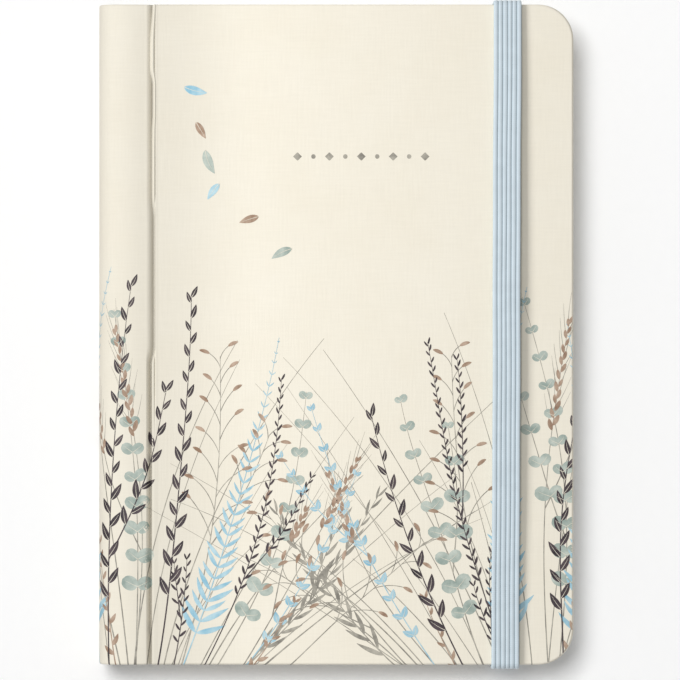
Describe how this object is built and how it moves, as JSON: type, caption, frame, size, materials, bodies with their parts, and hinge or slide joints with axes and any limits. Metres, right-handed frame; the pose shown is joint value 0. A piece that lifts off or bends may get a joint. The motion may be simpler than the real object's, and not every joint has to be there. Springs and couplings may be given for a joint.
{
  "type": "address book",
  "caption": "Hardback address book with wire-bound tabbed leaves in a paper-covered case, held shut by a flat elastic band let into the back cover.",
  "frame": {"origin": "centre of the closed book's outline, on the back cover's outer face", "axes": "+X from the spine to the fore-edge, +Y from tail to head, +Z from the back cover to the front"},
  "size_m": [0.128, 0.18, 0.0215],
  "materials": {
    "cover_paper": "matt, fine linen",
    "greyboard": "uncoated",
    "endpaper": "matt",
    "leaf_paper": "uncoated",
    "tab_card": "uncoated card",
    "binding_wire": "satin",
    "elastic": "ribbed woven"
  },
  "bodies": {
    "back_cover": {"back_board": "greyboard", "back_cover_paper": "cover_paper", "back_endpaper": "endpaper", "back_shoulder": "cover_paper", "binding_wire": "binding_wire", "binding_card": "greyboard", "binding_packing": "greyboard", "elastic_end_head": "elastic", "elastic_end_tail": "elastic"},
    "spine": {"spine_board": "greyboard", "spine_cover_paper": "cover_paper", "spine_lining": "endpaper", "front_shoulder": "cover_paper"},
    "front_strip": {"strip_board": "greyboard", "strip_cover_paper": "cover_paper", "strip_lining": "endpaper", "groove_hinge": "cover_paper"},
    "front_cover": {"front_board": "greyboard", "front_cover_paper": "cover_paper", "front_endpaper": "endpaper"},
    "title_page": {"title_leaf": "leaf_paper"},
    "closure": {"elastic_band": "elastic"},
    "section_ab": {"tab_leaf_ab": "tab_card", "leaves_ab": "leaf_paper"},
    "section_cd": {"tab_leaf_cd": "tab_card", "leaves_cd": "leaf_paper"},
    "section_ef": {"tab_leaf_ef": "tab_card", "leaves_ef": "leaf_paper"},
    "section_gh": {"tab_leaf_gh": "tab_card", "leaves_gh": "leaf_paper"},
    "section_ij": {"tab_leaf_ij": "tab_card", "leaves_ij": "leaf_paper"},
    "section_kl": {"tab_leaf_kl": "tab_card", "leaves_kl": "leaf_paper"},
    "section_mn": {"tab_leaf_mn": "tab_card", "leaves_mn": "leaf_paper"},
    "section_op": {"tab_leaf_op": "tab_card", "leaves_op": "leaf_paper"},
    "section_qr": {"tab_leaf_qr": "tab_card", "leaves_qr": "leaf_paper"},
    "section_st": {"tab_leaf_st": "tab_card", "leaves_st": "leaf_paper"},
    "section_uvw": {"tab_leaf_uvw": "tab_card", "leaves_uvw": "leaf_paper"},
    "section_xyz": {"tab_leaf_xyz": "tab_card", "leaves_xyz": "leaf_paper"}
  },
  "joints": [
    {"name": "spine_fold", "type": "hinge", "parent": "back_cover", "child": "spine", "pos_m": [-0.06314, 0, 0.00086], "axis": [0, -1, 0], "range_deg": [0, 90], "deforming": ["back_shoulder"]},
    {"name": "shoulder_fold", "type": "hinge", "parent": "spine", "child": "front_strip", "pos_m": [-0.06314, 0, 0.01971], "axis": [0, -1, 0], "range_deg": [0, 90], "deforming": ["front_shoulder"]},
    {"name": "front_cover_hinge", "type": "hinge", "parent": "front_strip", "child": "front_cover", "pos_m": [-0.0499, 0, 0.01937], "axis": [0, 1, 0], "range_deg": [-100, 0], "deforming": ["groove_hinge"]},
    {"name": "title_page_turn", "type": "hinge", "parent": "back_cover", "child": "title_page", "pos_m": [-0.05372, 0, 0.01028], "axis": [0, -1, 0], "range_deg": [0, 180]},
    {"name": "section_ab_turn", "type": "hinge", "parent": "back_cover", "child": "section_ab", "pos_m": [-0.05372, 0, 0.01028], "axis": [0, -1, 0], "range_deg": [0, 180]},
    {"name": "section_cd_turn", "type": "hinge", "parent": "back_cover", "child": "section_cd", "pos_m": [-0.05372, 0, 0.01028], "axis": [0, -1, 0], "range_deg": [0, 180]},
    {"name": "section_ef_turn", "type": "hinge", "parent": "back_cover", "child": "section_ef", "pos_m": [-0.05372, 0, 0.01028], "axis": [0, -1, 0], "range_deg": [0, 180]},
    {"name": "section_gh_turn", "type": "hinge", "parent": "back_cover", "child": "section_gh", "pos_m": [-0.05372, 0, 0.01028], "axis": [0, -1, 0], "range_deg": [0, 180]},
    {"name": "section_ij_turn", "type": "hinge", "parent": "back_cover", "child": "section_ij", "pos_m": [-0.05372, 0, 0.01028], "axis": [0, -1, 0], "range_deg": [0, 180]},
    {"name": "section_kl_turn", "type": "hinge", "parent": "back_cover", "child": "section_kl", "pos_m": [-0.05372, 0, 0.01028], "axis": [0, -1, 0], "range_deg": [0, 180]},
    {"name": "section_mn_turn", "type": "hinge", "parent": "back_cover", "child": "section_mn", "pos_m": [-0.05372, 0, 0.01028], "axis": [0, -1, 0], "range_deg": [0, 180]},
    {"name": "section_op_turn", "type": "hinge", "parent": "back_cover", "child": "section_op", "pos_m": [-0.05372, 0, 0.01028], "axis": [0, -1, 0], "range_deg": [0, 180]},
    {"name": "section_qr_turn", "type": "hinge", "parent": "back_cover", "child": "section_qr", "pos_m": [-0.05372, 0, 0.01028], "axis": [0, -1, 0], "range_deg": [0, 180]},
    {"name": "section_st_turn", "type": "hinge", "parent": "back_cover", "child": "section_st", "pos_m": [-0.05372, 0, 0.01028], "axis": [0, -1, 0], "range_deg": [0, 180]},
    {"name": "section_uvw_turn", "type": "hinge", "parent": "back_cover", "child": "section_uvw", "pos_m": [-0.05372, 0, 0.01028], "axis": [0, -1, 0], "range_deg": [0, 180]},
    {"name": "section_xyz_turn", "type": "hinge", "parent": "back_cover", "child": "section_xyz", "pos_m": [-0.05372, 0, 0.01028], "axis": [0, -1, 0], "range_deg": [0, 180]},
    {"name": "band_swing", "type": "hinge", "parent": "back_cover", "child": "closure", "pos_m": [0.0458, 0, 0], "axis": [0, 1, 0], "range_deg": [0, 180], "deforming": ["elastic_band"]}
  ],
  "couplings": [
    {"joint": "shoulder_fold", "follows": "spine_fold", "ratio": 1},
    {"joint": "title_page_turn", "follows": "spine_fold", "ratio": 2},
    {"joint": "section_ab_turn", "follows": "spine_fold", "ratio": 1.9911},
    {"joint": "section_cd_turn", "follows": "spine_fold", "ratio": 1.9811},
    {"joint": "section_ef_turn", "follows": "spine_fold", "ratio": 1.97},
    {"joint": "section_gh_turn", "follows": "spine_fold", "ratio": 1.9578},
    {"joint": "section_ij_turn", "follows": "spine_fold", "ratio": 1.9444},
    {"joint": "section_kl_turn", "follows": "spine_fold", "ratio": 1.9311},
    {"joint": "section_mn_turn", "follows": "spine_fold", "ratio": 0.068889},
    {"joint": "section_op_turn", "follows": "spine_fold", "ratio": 0.055556},
    {"joint": "section_qr_turn", "follows": "spine_fold", "ratio": 0.042222},
    {"joint": "section_st_turn", "follows": "spine_fold", "ratio": 0.03},
    {"joint": "section_uvw_turn", "follows": "spine_fold", "ratio": 0.018889},
    {"joint": "section_xyz_turn", "follows": "spine_fold", "ratio": 0.008889},
    {"joint": "band_swing", "follows": "spine_fold", "ratio": 2}
  ]
}
